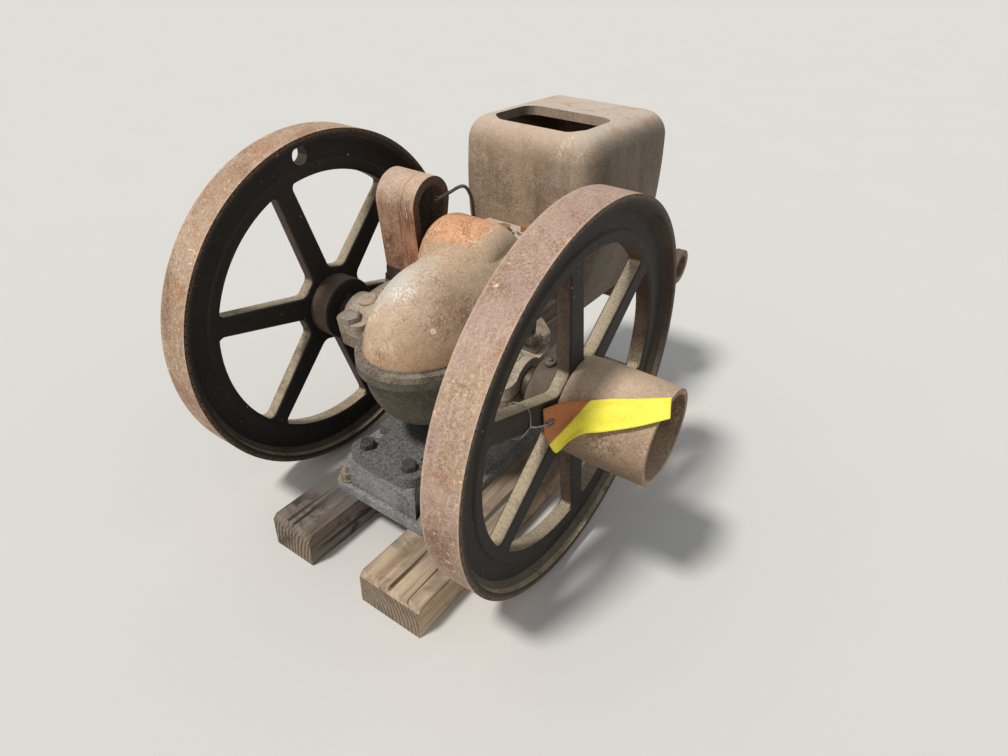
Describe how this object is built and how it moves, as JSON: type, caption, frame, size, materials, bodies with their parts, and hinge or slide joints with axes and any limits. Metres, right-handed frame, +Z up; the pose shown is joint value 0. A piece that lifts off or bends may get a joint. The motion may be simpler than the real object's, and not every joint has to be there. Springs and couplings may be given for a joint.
{
  "type": "hit-and-miss stationary engine",
  "caption": "Small horizontal farm engine: open water hopper behind a domed crankcase, spoked flywheels on one shaft, flat-belt pulley and magneto, on timber skids.",
  "frame": {"origin": "middle of the whole part's footprint, at the underside of the skids", "axes": "+X along the crankshaft towards the belt pulley, +Y from the flywheels towards the cylinder head, +Z up"},
  "size_m": [0.523, 0.707, 0.4695],
  "materials": {
    "wheel_rust": "rusty, dry",
    "wheel_rust_right": "rusty, dry",
    "hopper_rust": "rusty grey brown",
    "case_rust": "rusty tan with dirt",
    "case_dark": "oily olive grey",
    "base_dark": "rough oily charcoal",
    "magnet_rust": "rusty red brown",
    "dark_iron": "dark rust",
    "shaft_steel": "dull, spotted with rust",
    "bolt_steel": "dull grey",
    "pulley_rust": "worn rust",
    "head_rust": "rusty brown",
    "skid_dark": "weathered and oily",
    "skid_light": "weathered"
  },
  "bodies": {
    "engine": {"crankcase": "case_dark", "crankcase_cover": "case_rust", "bearing_cap_left": "case_rust", "bearing_cap_right": "case_rust", "bearing_bolts_left": "bolt_steel", "bearing_bolts_right": "bolt_steel", "foot_bolts": "bolt_steel", "gear_case": "dark_iron", "water_hopper": "hopper_rust", "ledge_bolts": "bolt_steel", "cylinder_liner": "dark_iron", "cylinder_head": "head_rust", "head_bolts": "bolt_steel", "exhaust_stub": "head_rust", "fuel_mixer": "head_rust", "rocker_arm": "dark_iron", "pushrod": "shaft_steel", "pushrod_guide": "case_dark", "governor_rod": "shaft_steel", "detent_rod": "shaft_steel", "bearing_lock_plate": "bolt_steel", "rod_guide": "dark_iron", "rod_foot": "dark_iron", "magnet_inner": "magnet_rust", "magnet_outer": "magnet_rust", "magneto_body": "dark_iron", "magneto_ends": "dark_iron", "magneto_bracket": "case_dark", "base_casting": "base_dark", "base_studs": "bolt_steel", "skid_left": "skid_dark", "skid_right": "skid_light"},
    "crank": {"flywheel_left": "wheel_rust", "flywheel_right": "wheel_rust_right", "crankshaft": "shaft_steel", "flywheel_key": "dark_iron", "belt_pulley": "pulley_rust", "pulley_bolts": "bolt_steel"}
  },
  "joints": [
    {"name": "crank_spin", "type": "hinge", "parent": "engine", "child": "crank", "pos_m": [-0.0405, -0.12495, 0.238], "axis": [1, 0, 0], "continuous": true}
  ]
}
